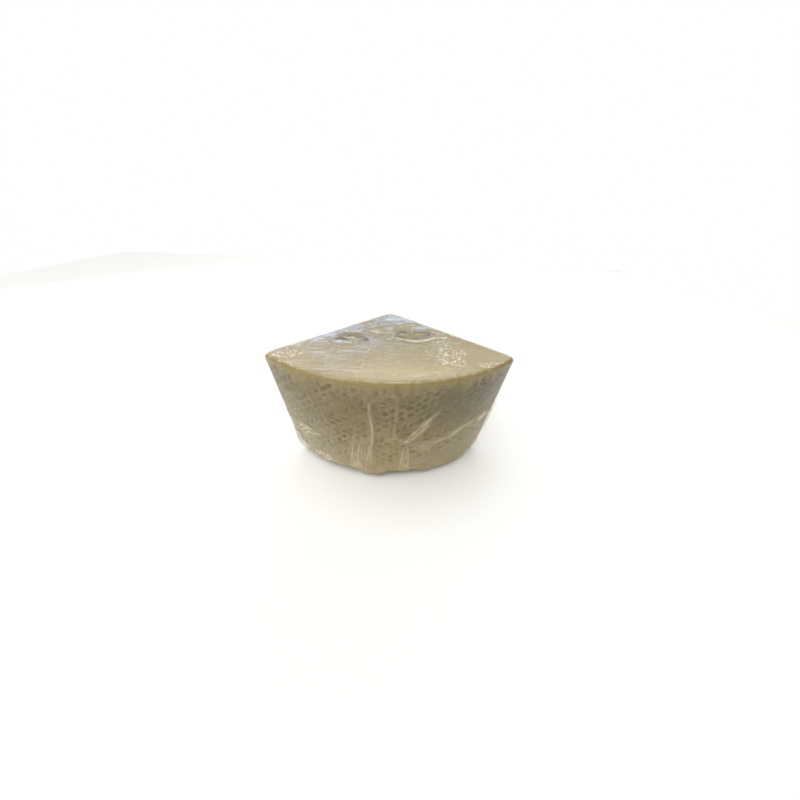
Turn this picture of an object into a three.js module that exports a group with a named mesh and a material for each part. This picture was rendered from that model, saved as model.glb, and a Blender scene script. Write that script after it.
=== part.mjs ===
// A quarter of half a wheel of hard aged sheep's-milk cheese, wrapped tight in clear stretch film.
// The piece stands on the wheel's own flat end, with the level cut on top. Its curved rind faces
// -Y, and its two upright cuts meet in a point at +Y. The solid is the film's outer form: the
// cheese, the shallow hollows in its cut top, and the film's main folds over the rind.
// Millimetres, +Z up, origin at the centre of the footprint's box, on the surface it stands on.
import * as THREE from "three";

// The wheel and the cuts
const WHEEL_RADIUS = 160; // at the level cut, half way up the wheel
const HEIGHT = 130; // half the height of the wheel
const SECTOR_ANGLE = THREE.MathUtils.degToRad(90);
const SIDE_LEAN = 14.4; // how much nearer the axis the rind is at the wheel's end
const WHEEL_EDGE_ROUND = 16; // between the rind and the wheel's flat end
const CUT_EDGE_ROUND = 2.6; // round the level cut
const FOOT_EDGE_ROUND = 1.6; // under the upright cuts
const CORNER_ROUND = 3.2; // where the rind meets an upright cut
const POINT_ROUND = 7; // where the two upright cuts meet

// How finely the faces are divided
const RIM_STEPS = 58;
const CORNER_STEPS = 3;
const CUT_STEPS = 13;
const WALL_ROWS = 16;
const WHEEL_EDGE_STEPS = 5;
const SMALL_EDGE_STEPS = 3;
const TOP_RINGS = 8;

// Shallow hollows in the level cut. x runs along the rind's chord and y away from the wheel's axis.
const HOLLOWS = [
  { x: -39, y: -77, halfX: 19, halfY: 14, depth: 2.4 },
  { x: 24, y: -66, halfX: 28, halfY: 18, depth: 2.2 },
];

// The film's main folds over the rind, each a soft ridge from one place to another.
// A place is [degrees round the wheel from the middle of the rind, height].
const FOLDS = [
  { from: [-10.5, 6], to: [-6.8, 66], halfWidth: 6.0, proud: 1.5 },
  { from: [4.4, 6], to: [5.4, 56], halfWidth: 6.5, proud: 1.6 },
  { from: [5.6, 56], to: [15.8, 105], halfWidth: 6.0, proud: 1.2 },
  { from: [17.0, 56], to: [39.0, 67], halfWidth: 6.5, proud: 1.6 },
  { from: [-40.0, 60], to: [-25.0, 46], halfWidth: 6.0, proud: 1.1 },
  { from: [-11.0, 4], to: [-5.0, 8], halfWidth: 11.0, proud: 3.0 },
  { from: [14.0, 6], to: [33.0, 10], halfWidth: 11.0, proud: 2.2 },
];

// Slack film that spans the rounded foot at one corner instead of following it
const SLACK = { angle: -41, height: 22, halfAngle: 9, halfHeight: 22, proud: 1.2 };

// Folds and slack film fade out this far under the level cut
const FOLD_FADE = 8;

const HALF_ANGLE = SECTOR_ANGLE / 2;
const POINT_TIP = POINT_ROUND * (1 / Math.sin(HALF_ANGLE) - 1);
const AXIS_Y = (WHEEL_RADIUS + POINT_TIP) / 2;

// 1 in the middle of a bump and 0 from its rim outwards, with no crease at either
function bump(distance) {
  const inside = Math.max(0, 1 - distance ** 2);
  return inside ** 2;
}

// How far a rounded edge draws a side in, at a distance from the face that the edge borders
function edgeDraw(round, distance) {
  const over = Math.max(0, round - distance);
  return round - Math.sqrt(round ** 2 - over ** 2);
}

// The rind's distance from the wheel's axis
function rindRadius(height) {
  const leaning = WHEEL_RADIUS - SIDE_LEAN * (1 - height / HEIGHT);
  return leaning - edgeDraw(WHEEL_EDGE_ROUND, height);
}

// The piece's outline at a height, as arcs and straight runs round the wheel's axis
function outlinePoints(height) {
  const inset = edgeDraw(CUT_EDGE_ROUND, HEIGHT - height) + edgeDraw(FOOT_EDGE_ROUND, height);
  const rim = rindRadius(height) - inset;
  const cornerAngle = HALF_ANGLE - Math.asin((inset + CORNER_ROUND) / (rim - CORNER_ROUND));
  const cornerX = (rim - CORNER_ROUND) * Math.sin(cornerAngle);
  const cornerY = -(rim - CORNER_ROUND) * Math.cos(cornerAngle);
  const pointY = -(inset + POINT_ROUND) / Math.sin(HALF_ANGLE);

  const front = -Math.PI / 2;
  const arc = (x, y, radius, from, to) => new THREE.EllipseCurve(x, y, radius, radius, from, to);
  const rindArc = arc(0, 0, rim, front - cornerAngle, front + cornerAngle);
  const rightCorner = arc(cornerX, cornerY, CORNER_ROUND, front + cornerAngle, HALF_ANGLE);
  const point = arc(0, pointY, POINT_ROUND, HALF_ANGLE, Math.PI - HALF_ANGLE);
  const leftEnd = 3 * (Math.PI / 2) - cornerAngle;
  const leftCorner = arc(-cornerX, cornerY, CORNER_ROUND, Math.PI - HALF_ANGLE, leftEnd);
  const rightCut = new THREE.LineCurve(rightCorner.getPoint(1), point.getPoint(0));
  const leftCut = new THREE.LineCurve(point.getPoint(1), leftCorner.getPoint(0));

  const runs = [
    [rindArc, RIM_STEPS],
    [rightCorner, CORNER_STEPS],
    [rightCut, CUT_STEPS],
    [point, CORNER_STEPS],
    [leftCut, CUT_STEPS],
    [leftCorner, CORNER_STEPS],
  ];
  return runs.flatMap(([curve, steps]) => curve.getPoints(steps).slice(0, -1));
}

// How far the film's folds stand out of the rind, at an angle round the wheel and a height
function foldRelief(angle, height) {
  const perDegree = THREE.MathUtils.degToRad(WHEEL_RADIUS);
  const place = ([degrees, up]) => new THREE.Vector2(degrees * perDegree, up);
  const here = place([angle, height]);
  let proud = 0;
  for (const fold of FOLDS) {
    const from = place(fold.from);
    const run = place(fold.to).sub(from);
    const share = here.clone().sub(from).dot(run) / run.lengthSq();
    const nearest = from.addScaledVector(run, THREE.MathUtils.clamp(share, 0, 1));
    proud = Math.max(proud, fold.proud * bump(nearest.distanceTo(here) / fold.halfWidth));
  }
  return proud;
}

function slackRelief(angle, height) {
  const across = (angle - SLACK.angle) / SLACK.halfAngle;
  const up = (height - SLACK.height) / SLACK.halfHeight;
  return SLACK.proud * bump(Math.hypot(across, up));
}

// How far the level cut lies below its own plane at a place
function hollowDepth(x, y) {
  const depths = HOLLOWS.map((hollow) => {
    const away = Math.hypot((x - hollow.x) / hollow.halfX, (y - hollow.y) / hollow.halfY);
    return hollow.depth * bump(away);
  });
  return Math.max(...depths);
}

// Heights of the side's rows, closer together where the edges are rounded
function rowHeights() {
  const rounded = (round, steps) =>
    Array.from({ length: steps + 1 }, (_, k) => round * (1 - Math.cos((k / steps) * (Math.PI / 2))));
  const foot = rounded(FOOT_EDGE_ROUND, SMALL_EDGE_STEPS);
  const wheelEdge = rounded(WHEEL_EDGE_ROUND, WHEEL_EDGE_STEPS).filter((z) => z > FOOT_EDGE_ROUND);
  const top = rounded(CUT_EDGE_ROUND, SMALL_EDGE_STEPS).map((z) => HEIGHT - z);
  const wallTop = HEIGHT - CUT_EDGE_ROUND;
  const rise = (wallTop - WHEEL_EDGE_ROUND) / WALL_ROWS;
  const wall = Array.from({ length: WALL_ROWS - 1 }, (_, k) => WHEEL_EDGE_ROUND + rise * (k + 1));
  return [...foot, ...wheelEdge, ...wall, ...top.reverse()];
}

// The side's outline at a height, with the rind and its corners moved out by the film's folds
function sideRing(height) {
  const fade = THREE.MathUtils.smoothstep(HEIGHT - height, 0, FOLD_FADE);
  const cutsBegin = rindRadius(height) - 2 * CORNER_ROUND;
  return outlinePoints(height).map((point) => {
    const onCut = point.length() < cutsBegin;
    const angle = THREE.MathUtils.radToDeg(Math.atan2(point.x, -point.y));
    const proud = onCut ? 0 : fade * (foldRelief(angle, height) + slackRelief(angle, height));
    const moved = point.clone().setLength(point.length() + proud);
    return new THREE.Vector3(moved.x, moved.y, height);
  });
}

// The level cut as rings that shrink from its outline to a place in its middle
function topRings(outline) {
  const middle = new THREE.Vector2(0, -WHEEL_RADIUS / 2);
  const onCut = (x, y) => new THREE.Vector3(x, y, HEIGHT - hollowDepth(x, y));
  const rings = [];
  for (let k = 1; k < TOP_RINGS; k++) {
    const share = k / TOP_RINGS;
    const shrunk = outline.map((p) => new THREE.Vector2(p.x, p.y).lerp(middle, share));
    rings.push(shrunk.map((p) => onCut(p.x, p.y)));
  }
  return { rings, centre: onCut(middle.x, middle.y) };
}

// One closed surface through a stack of rings, with a point at each end
function closedLoft(bottom, rings, top) {
  const count = rings[0].length;
  const points = [bottom, ...rings.flat(), top];
  const last = points.length - 1;
  const at = (ring, i) => 1 + ring * count + (i % count);
  const faces = [];
  for (let i = 0; i < count; i++) {
    faces.push([0, at(0, i + 1), at(0, i)]);
    for (let ring = 0; ring + 1 < rings.length; ring++) {
      faces.push([at(ring, i), at(ring, i + 1), at(ring + 1, i + 1)]);
      faces.push([at(ring, i), at(ring + 1, i + 1), at(ring + 1, i)]);
    }
    faces.push([last, at(rings.length - 1, i), at(rings.length - 1, i + 1)]);
  }
  const geometry = new THREE.BufferGeometry().setFromPoints(points);
  geometry.setIndex(faces.flat());
  geometry.computeVertexNormals();
  return geometry;
}

function wrappedWedge() {
  const sides = rowHeights().map(sideRing);
  const { rings, centre } = topRings(sides[sides.length - 1]);
  const footCentre = new THREE.Vector3(0, -WHEEL_RADIUS / 2, 0);
  return closedLoft(footCentre, [...sides, ...rings], centre);
}

const filmedCheese = new THREE.MeshStandardMaterial({
  color: new THREE.Color(0.78, 0.7, 0.5),
  roughness: 0.35,
  metalness: 0,
});

const wedge = new THREE.Mesh(wrappedWedge(), filmedCheese);
wedge.name = "wrapped_cheese";
wedge.position.set(0, AXIS_Y, 0);

const part = new THREE.Group();
part.add(wedge);

export default part;
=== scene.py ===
import math

import bpy
import numpy as np
from mathutils import Matrix, Vector


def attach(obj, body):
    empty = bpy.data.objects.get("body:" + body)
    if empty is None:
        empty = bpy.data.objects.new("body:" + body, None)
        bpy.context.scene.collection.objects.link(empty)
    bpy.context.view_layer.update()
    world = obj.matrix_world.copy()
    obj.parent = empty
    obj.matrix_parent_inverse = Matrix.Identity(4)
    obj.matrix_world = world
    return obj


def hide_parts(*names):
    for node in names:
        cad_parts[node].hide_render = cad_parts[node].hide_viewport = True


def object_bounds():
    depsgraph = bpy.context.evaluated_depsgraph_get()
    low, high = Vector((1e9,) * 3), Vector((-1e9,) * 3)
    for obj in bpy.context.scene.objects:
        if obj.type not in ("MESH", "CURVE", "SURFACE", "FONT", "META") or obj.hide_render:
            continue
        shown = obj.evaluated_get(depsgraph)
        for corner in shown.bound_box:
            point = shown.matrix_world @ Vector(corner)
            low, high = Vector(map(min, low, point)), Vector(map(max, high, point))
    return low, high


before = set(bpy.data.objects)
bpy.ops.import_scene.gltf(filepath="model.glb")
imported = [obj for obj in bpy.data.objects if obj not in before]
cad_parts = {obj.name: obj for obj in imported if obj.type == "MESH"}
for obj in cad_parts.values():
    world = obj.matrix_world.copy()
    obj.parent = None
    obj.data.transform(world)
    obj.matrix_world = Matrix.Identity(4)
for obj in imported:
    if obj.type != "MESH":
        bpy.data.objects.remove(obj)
cad_low, cad_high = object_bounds()

MM = 0.001

# The wheel and the cuts, with the CAD part's own sizes
HEIGHT = cad_high.z - cad_low.z
WHEEL_RADIUS = 160 * MM
HALF_ANGLE = math.radians(45)
SIDE_LEAN = 14.4 * MM
WHEEL_EDGE_ROUND = 16 * MM
CUT_EDGE_ROUND = 2.6 * MM
FOOT_EDGE_ROUND = 1.6 * MM
CORNER_ROUND = 3.2 * MM
POINT_ROUND = 7 * MM
POINT_TIP = POINT_ROUND * (1 / math.sin(HALF_ANGLE) - 1)
AXIS = Vector((0, (WHEEL_RADIUS + POINT_TIP) / 2, 0))
RIM_TURN = math.radians(1) * WHEEL_RADIUS  # length of one degree of the rind

# How far the cheese lies inside the film
FILM_GAP = 0.45 * MM
FOOT_GAP = 1.3 * MM
FOOT_SLACK = 0.7 * MM
CHEESE_RIM_ROUND = 4.5 * MM  # under the film, where the rind meets the level cut

# How finely the two skins are divided
CHEESE_STEPS = {"rim": 330, "corner": 5, "cut": 58, "wall": 140, "top": 27, "foot": 7}
FILM_STEPS = {"rim": 312, "corner": 6, "cut": 64, "wall": 112, "top": 62, "foot": 12}

# Soft patches, each with its centre, its half sizes and its strength. On the level cut a place is
# x and y from the wheel's axis, on the rind it is degrees round the wheel and height, and on an
# upright cut it is the distance from the axis and height. A hollow, slack film and the chip in the
# cheese have their depth or height for strength.
HOLLOWS = [((-39, -77), (19, 14), 2.4), ((24, -66), (28, 18), 2.2)]
TEARS = [
    ((-48, -77), (11, 8), 0.8),
    ((-39, -80), (6, 4), 0.7),
    ((-28, -81), (9, 9), 0.85),
    ((-37, -93), (5, 4), 0.8),
    ((8, -78), (11, 4), 0.32),
    ((24, -72), (12, 6), 0.34),
    ((38, -64), (9, 7), 0.62),
    ((14, -60), (8, 5), 0.32),
]
# Painted shade beside the hollows, laid on with the hollows' moist colour
HOLLOW_SHADE_PATCHES = [((-30, -67), (11, 16), 0.20), ((40, -52), (14, 10), 0.10)]
# Painted light along the front of the level cut
LIT_FRONT_PATCHES = [((4, -148), (84, 26), 1.0)]
CHIP = [((-42, 15), (9, 24), 3.0)]
SLACK = [((-41, 22), (9, 22), 1.2), ((45, 64), (6, 44), 1.8)]

# Film that looks veiled over the rind, partly as painted light where the rind's left is lighter, and a
# painted blue reflection of the sky over the level cut
RIND_VEILS_AND_LIGHT = [
    ((-30, 28), (18, 34), 0.30),
    ((-28, 62), (14, 30), 0.18),
    ((-42, 18), (10, 30), 0.62),
    ((-45, 22), (5, 26), 0.80),
    ((12, 47), (7, 7), 0.20),
    ((11, 30), (7, 20), 0.20),
    ((-12, 26), (9, 34), 0.12),
    ((5, 32), (5, 34), 0.12),
    ((26, 24), (20, 26), 0.10),
    ((44, 52), (3, 40), 0.26),
]
# A painted blue reflection of the sky over the level cut: at its apex, its right and before the left
# hollow
TOP_BLUE_REFLECTIONS = [((4, -26), (38, 24), 1.0), ((32, -50), (18, 11), 0.8), ((-50, -87), (15, 9), 0.6)]

# Film that is finely puckered, over what it is all over that face, with painted glints where strongly
# puckered
RIND_PUCKER = 0.10
RIND_PUCKERS = [
    ((-35, 50), (10, 14), 0.8),
    ((-29, 17), (8, 12), 0.8),
    ((40, 68), (5, 12), 0.8),
    ((-13, 22), (6, 36), 0.18),
    ((5, 26), (5, 40), 0.18),
]
CUT_PUCKER = 0.15
CUT_PUCKERS = [
    ((24, 22), (22, 30), 0.20),
    ((112, 24), (30, 34), 0.24),
    ((128, 100), (34, 34), 0.28),
    ((40, 84), (30, 30), 0.26),
]
TOP_PUCKER = 0.05
TOP_PUCKERS = [
    ((51, -104), (25, 50), 1.25),
    ((-92, -112), (24, 17), 1.2),
    ((10, -30), (44, 26), 0.25),
    ((-42, -86), (26, 12), 0.8),
    ((28, -80), (36, 10), 0.8),
    ((86, -130), (26, 12), 0.8),
]
FOOT_PUCKER = 0.2

# Gathers that stand off the foot: two ends on the rind, half width, and how far they stand out
FLARES = [([(-11, 4), (-5, 8)], 11, 3.0), ([(14, 6), (33, 10)], 11, 2.2)]


def add_object(name, data):
    made = bpy.data.objects.new(name, data)
    bpy.context.scene.collection.objects.link(made)
    return made


def smoothstep(value, start, end):
    share = np.clip((value - start) / (end - start), 0, 1)
    return share * share * (3 - 2 * share)


def bump(distance):
    """1 in the middle of a bump and 0 from its rim outwards, with no crease at either."""
    return np.clip(1 - distance**2, 0, None) ** 2


def patches(u, v, places):
    """How strong the strongest of some soft patches is, at places in a face."""
    share = np.zeros(u.shape)
    for (at_u, at_v), (half_u, half_v), strength in places:
        away = np.hypot((u - at_u) / half_u, (v - at_v) / half_v)
        share = np.maximum(share, strength * bump(away))
    return share


def value_noise(points, cell, seed):
    """Smooth noise from -1 to 1. cell is a lattice cell's size in millimetres, or one per axis."""
    lattice_size = 32
    lattice = np.random.default_rng(seed).uniform(-1, 1, (lattice_size,) * 3)
    scaled = points / (np.asarray(cell) * MM)
    base = np.floor(scaled).astype(int)
    part = smoothstep(scaled - base, 0, 1)
    total = np.zeros(points.shape[:-1])
    for corner in np.ndindex(2, 2, 2):
        index = (base + corner) % lattice_size
        weight = np.prod(np.where(corner, part, 1 - part), axis=-1)
        total += weight * lattice[index[..., 0], index[..., 1], index[..., 2]]
    return total


def layered_noise(points, cell, seed, layers=2):
    total = np.zeros(points.shape[:-1])
    for layer in range(layers):
        total += value_noise(points, np.asarray(cell) / 2**layer, seed + layer) / 2**layer
    return total


# The form of the cut piece


def edge_draw(round_radius, distance):
    """How far a rounded edge draws a side in, at a distance from the face that it borders."""
    over = np.clip(round_radius - distance, 0, round_radius)
    return round_radius - np.sqrt(round_radius**2 - over**2)


def rind_radius(height):
    leaning = WHEEL_RADIUS - SIDE_LEAN * (1 - height / HEIGHT)
    return leaning - edge_draw(WHEEL_EDGE_ROUND, height)


def arc(x, y, radius, start, end, count):
    turn = start + (end - start) * np.arange(count) / count
    ends = np.broadcast_arrays(x + radius * np.cos(turn), y + radius * np.sin(turn))
    return np.stack(ends, axis=-1)


def line(start, end, count):
    share = (np.arange(count) / count)[None, :, None]
    return start[:, None, :] * (1 - share) + end[:, None, :] * share


def outline(heights, low, high, gap, rim_round, steps):
    """The piece's outline at each height, round the wheel's axis, drawn in by gap."""
    z = heights[:, None]
    foot_draw = edge_draw(FOOT_EDGE_ROUND, z - low)
    inset = gap + edge_draw(CUT_EDGE_ROUND, high - z) + foot_draw
    rim = rind_radius(z) - gap - edge_draw(rim_round, high - z) - foot_draw
    corner_turn = HALF_ANGLE - np.arcsin((inset + CORNER_ROUND) / (rim - CORNER_ROUND))
    corner_x = (rim - CORNER_ROUND) * np.sin(corner_turn)
    corner_y = -(rim - CORNER_ROUND) * np.cos(corner_turn)
    point_y = -(inset + POINT_ROUND) / math.sin(HALF_ANGLE)
    front = -math.pi / 2
    mirror = np.array([-1, 1])
    away = np.array([math.cos(HALF_ANGLE), math.sin(HALF_ANGLE)])
    corner_end = np.concatenate([corner_x, corner_y], axis=1) + CORNER_ROUND * away
    point_start = np.concatenate([np.zeros_like(point_y), point_y], axis=1) + POINT_ROUND * away
    left_end = 1.5 * math.pi - corner_turn
    runs = [
        arc(0, 0, rim, front - corner_turn, front + corner_turn, steps["rim"]),
        arc(corner_x, corner_y, CORNER_ROUND, front + corner_turn, HALF_ANGLE, steps["corner"]),
        line(corner_end, point_start, steps["cut"]),
        arc(0, point_y, POINT_ROUND, HALF_ANGLE, math.pi - HALF_ANGLE, steps["corner"]),
        line(point_start * mirror, corner_end * mirror, steps["cut"]),
        arc(-corner_x, corner_y, CORNER_ROUND, math.pi - HALF_ANGLE, left_end, steps["corner"]),
    ]
    return np.concatenate(runs, axis=1)


def rounded_steps(round_radius, count):
    return round_radius * (1 - np.cos(np.linspace(0, math.pi / 2, count + 1)))


def row_heights(low, high, rim_round, wall_rows):
    """Heights of the side's rows, closer together where its edges are rounded."""
    foot = low + rounded_steps(FOOT_EDGE_ROUND, 4)
    wheel_edge = rounded_steps(WHEEL_EDGE_ROUND, 20)
    wheel_edge = wheel_edge[wheel_edge > foot[-1] + 0.3 * MM]
    wall = np.linspace(WHEEL_EDGE_ROUND, high - rim_round, wall_rows + 1)[1:-1]
    top = high - rounded_steps(rim_round, 7)[::-1]
    return np.concatenate([foot, wheel_edge, wall, top])


def ring_shares(count):
    """How far each ring of an end has shrunk towards its middle."""
    return np.arange(1, count)[:, None] / count


def end_rings(edge, count):
    """Rings that shrink from an outline to a place in its middle, without either."""
    middle = np.array([0, -WHEEL_RADIUS / 2, edge[0, 2]])
    share = ring_shares(count)[..., None]
    return edge[None] * (1 - share) + middle * share


class Skin:
    """A closed surface round the piece: rings of the foot, of the side and of the level cut."""

    def __init__(self, low, high, gap, rim_round, steps):
        heights = row_heights(low, high, rim_round, steps["wall"])
        ring = outline(heights, low, high, gap, rim_round, steps)
        z = np.broadcast_to(heights[:, None], ring.shape[:2])
        self.side = np.dstack([ring, z])
        self.top = end_rings(self.side[-1], steps["top"])
        self.foot = end_rings(self.side[0], steps["foot"])[::-1]
        self.fromaxis = np.hypot(self.side[..., 0], self.side[..., 1])
        self.depth_in = rind_radius(z) - self.fromaxis
        self.near_rind = self.depth_in < 2 * CORNER_ROUND
        self.on_rind = np.zeros(z.shape, bool)
        self.on_rind[:, : steps["rim"] + 1] = True
        self.side_normals = self.outward(high, rim_round)

    def outward(self, high, rim_round):
        """Unit normals of the side: outwards in plan, turned down and up at the rounded edges."""
        along = np.roll(self.side, -1, axis=1) - np.roll(self.side, 1, axis=1)
        plan = np.stack([along[..., 1], -along[..., 0]], axis=-1)
        plan /= np.linalg.norm(plan, axis=-1, keepdims=True)
        z = self.side[..., 2]
        under = np.clip(1 - z / WHEEL_EDGE_ROUND, 0, 1) * self.near_rind
        over = np.clip(1 - (high - z) / rim_round, 0, 1)
        rise = over - under
        level = np.sqrt(np.clip(1 - rise**2, 0, 1))
        return np.dstack([plan * level[..., None], rise])

    def rind_places(self):
        """Lengths round the rind from its middle, at the wheel's full radius, and heights."""
        x, y, z = np.moveaxis(self.side, -1, 0)
        return np.arctan2(x, -y) * WHEEL_RADIUS, z.copy()

    def build(self, name, attributes):
        """The mesh object, with point attributes given for foot, side and top in turn."""
        parts = (self.foot, self.side, self.top)
        rows = np.concatenate(parts)
        poles = np.stack([self.foot[0].mean(0), self.top[-1].mean(0)])
        columns = rows.shape[1]
        index = np.arange(rows.shape[0] * columns).reshape(rows.shape[:2])
        after = np.roll(index, -1, axis=1)
        quads = np.stack([index[:-1], after[:-1], after[1:], index[1:]], axis=-1).reshape(-1, 4)
        bottom_pole = np.full(columns, index.size)
        top_pole = bottom_pole + 1
        fans = [
            np.stack([bottom_pole, after[0], index[0]], axis=-1),
            np.stack([top_pole, index[-1], after[-1]], axis=-1),
        ]
        faces = quads.tolist() + np.concatenate(fans).tolist()
        points = np.concatenate([rows.reshape(-1, 3), poles]) + np.array(AXIS)
        mesh = bpy.data.meshes.new(name)
        mesh.from_pydata(points.tolist(), [], faces)
        mesh.polygons.foreach_set("use_smooth", np.ones(len(mesh.polygons), bool))
        for label, given in attributes.items():
            shares = [np.broadcast_to(value, part.shape[:2]) for value, part in zip(given, parts)]
            values = np.concatenate(shares).astype(float)
            ends = [values[0].mean(), values[-1].mean()]
            layer = mesh.attributes.new(label, "FLOAT", "POINT")
            layer.data.foreach_set("value", np.concatenate([values.ravel(), ends]))
        mesh.update()
        return add_object(name, mesh)


def hollow_share(x, y):
    """1 in the middle of a hollow of the level cut and 0 outside, and the depth there."""
    share = patches(x, y, [(centre, half, 1) for centre, half, _ in HOLLOWS])
    return share, MM * patches(x, y, HOLLOWS)


def film_flares(s, z):
    """How far the gathers stand off the foot."""
    proud = np.zeros(s.shape)
    for ends, half, height in FLARES:
        signed, _, _ = nearest_on_route(s, z, on_rind(ends) * MM)
        proud = np.maximum(proud, height * MM * bump(signed / (half * MM)))
    return proud


# The rind's pressed marks: slanting bands of dots and of an ear of grain, and scattered pits


BAND_SLANT = math.radians(34)
BAND_PITCH = 23 * MM
BAND_COUNT = 11  # each way from the middle
MARK_COUNT = 40  # each way from the middle of a band
MARK_PITCH = 8.2 * MM
DOT_ROWS = (-6.0 * MM, 0.0, 6.0 * MM)
DOT_HALF = (3.4 * MM, 2.4 * MM)
GRAIN_HALF = (5.0 * MM, 2.0 * MM)
GRAIN_OFFSET = 4.2 * MM
GRAIN_SLANT = math.radians(38)
MARK_DEPTH = 1.3 * MM
MARKS_FROM = 13 * MM
MARKS_TO = HEIGHT - 8 * MM
MARKS_WHOLE_FROM = MARKS_FROM + 44 * MM  # worn under this height
PIT_COUNT = 320
PIT_HALF = (0.9 * MM, 1.9 * MM)


def band_marks(band):
    """The marks of one band before it is turned: along, across, half sizes and turn."""
    steps = np.arange(-MARK_COUNT, MARK_COUNT + 1)
    if band % 2:
        return [
            (k * MARK_PITCH + (abs(row) > 0) * MARK_PITCH / 2, row, *DOT_HALF, 0.0)
            for row in DOT_ROWS
            for k in steps
        ]
    return [
        (k * MARK_PITCH, side * GRAIN_OFFSET, *GRAIN_HALF, side * GRAIN_SLANT)
        for side in (-1, 1)
        for k in steps
    ]


def rind_marks():
    """Every mark on the rind: place, half sizes, turn and depth, each a little uneven."""
    rng = np.random.default_rng(11)
    reach = HALF_ANGLE * WHEEL_RADIUS
    cos, sin = math.cos(BAND_SLANT), math.sin(BAND_SLANT)
    marks = []
    for band in range(-BAND_COUNT, BAND_COUNT + 1):
        for along, across, half_long, half_wide, turn in band_marks(band):
            across = across + band * BAND_PITCH
            s = along * cos - across * sin + rng.normal(0, 0.6 * MM)
            z = HEIGHT / 2 + along * sin + across * cos + rng.normal(0, 0.6 * MM)
            depth = MARK_DEPTH * rng.uniform(0.45, 1.0)
            swell = rng.uniform(0.7, 1.15)
            turned = BAND_SLANT + turn + rng.normal(0, 0.12)
            if abs(s) < reach and MARKS_FROM < z < MARKS_TO:
                marks.append((s, z, half_long * swell, half_wide * swell, turned, depth))
    for _ in range(PIT_COUNT):
        s, z = rng.uniform(-reach, reach), rng.uniform(4 * MM, HEIGHT - 5 * MM)
        half = rng.uniform(*PIT_HALF)
        depth = MARK_DEPTH * rng.uniform(0.15, 0.6)
        marks.append((s, z, half * rng.uniform(1, 2), half, rng.uniform(0, math.pi), depth))
    return marks


def press_marks(s, z):
    """How deep the marks go, and their colour: up to 1 in a pit, painted shade, and down to -1 on its
    lip, a painted highlight.
    """
    depth = np.zeros(s.shape)
    shade = np.zeros(s.shape)
    lip_shade = np.zeros(s.shape)
    row_z = z[:, 0]
    row_s = s[s.shape[0] // 2]
    for mark_s, mark_z, half_long, half_wide, turn, mark_depth in rind_marks():
        reach = half_long * 2.0
        rows = np.flatnonzero(np.abs(row_z - mark_z) < reach)
        columns = np.flatnonzero(np.abs(row_s - mark_s) < reach + 3 * MM)
        if not rows.size or not columns.size:
            continue
        window = np.ix_(rows, columns)
        ds = s[window] - mark_s
        dz = z[window] - mark_z
        cos, sin = math.cos(turn), math.sin(turn)
        away = np.hypot((ds * cos + dz * sin) / half_long, (dz * cos - ds * sin) / half_wide)
        pit = 1 - smoothstep(away, 0.15, 1.3)
        lip = bump((away - 1.4) / 0.45)
        worn = 0.32 + 0.68 * smoothstep(mark_z, MARKS_FROM, MARKS_WHOLE_FROM)
        share = worn * mark_depth / MARK_DEPTH
        depth[window] = np.maximum(depth[window], mark_depth * worn * (pit - 0.15 * lip))
        shade[window] = np.maximum(shade[window], pit * share)
        lip_shade[window] = np.maximum(lip_shade[window], lip * share)
    return depth, np.where(shade > 0.06, shade, -lip_shade)


# The cheese


def cheese_side(skin):
    """Shape the rind and the upright cuts. Gives how far rind shows, the painted shade towards its upper
    edge and right, and the painted shade of pits and flakes.
    """
    s, z = skin.rind_places()
    degrees = s / RIM_TURN
    rind = skin.on_rind

    # The rind swells and dips, with fine pebbling, and its marks are pressed in
    depth, shade = press_marks(s, z)
    wear = np.clip(0.72 + 0.7 * value_noise(skin.side, 24, 3), 0.2, 1)
    relief = -depth * wear * rind
    relief += rind * 0.30 * MM * layered_noise(skin.side, 24, 5)
    relief += rind * 0.13 * MM * layered_noise(skin.side, 3.2, 7)
    relief += rind * 0.14 * MM * layered_noise(skin.side, (26, 26, 3.6), 8)

    # The upright cuts are sawn flat, with crumbled specks and a few torn flakes
    inland = smoothstep(skin.depth_in, 3 * MM, 9 * MM) * ~rind
    torn = smoothstep(layered_noise(skin.side, (11, 11, 7), 13, layers=3), 0.45, 0.80)
    relief -= inland * 1.1 * MM * torn
    relief += inland * 0.10 * MM * layered_noise(skin.side, (9, 9, 1.8), 17)
    relief = np.minimum(relief, 0.28 * MM)
    relief += rind * film_flares(s, z)
    chip = MM * patches(degrees, z / MM, CHIP)
    relief -= chip * (1 - smoothstep(skin.depth_in, 3 * MM, 16 * MM))
    skin.side += relief[..., None] * skin.side_normals
    skin.side[..., 2] = np.maximum(skin.side[..., 2], FOOT_GAP)

    # The rind's colour covers its outside, and shows as a band inside the cuts
    z = skin.side[..., 2]
    high = HEIGHT - FILM_GAP
    share = 1 - smoothstep(skin.depth_in, 1.0 * MM, 5.5 * MM)
    share = np.maximum(share, rind * (1 - smoothstep(z, high - 5.5 * MM, high)))
    share = np.maximum(share, 1 - smoothstep(z, 1.5 * MM, 6 * MM))
    # The rind gets painted shade towards its upper edge, and most of all at the right
    to_right = smoothstep(degrees, -5, 34)
    upper_right_shade = rind * smoothstep(z, 50 * MM, 105 * MM) * (0.35 + 0.65 * to_right)
    # The last share is painted shade in the pits and torn flakes, and painted highlight on the pits'
    # lips
    return share, upper_right_shade, shade * wear * rind + 0.30 * inland * torn


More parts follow.
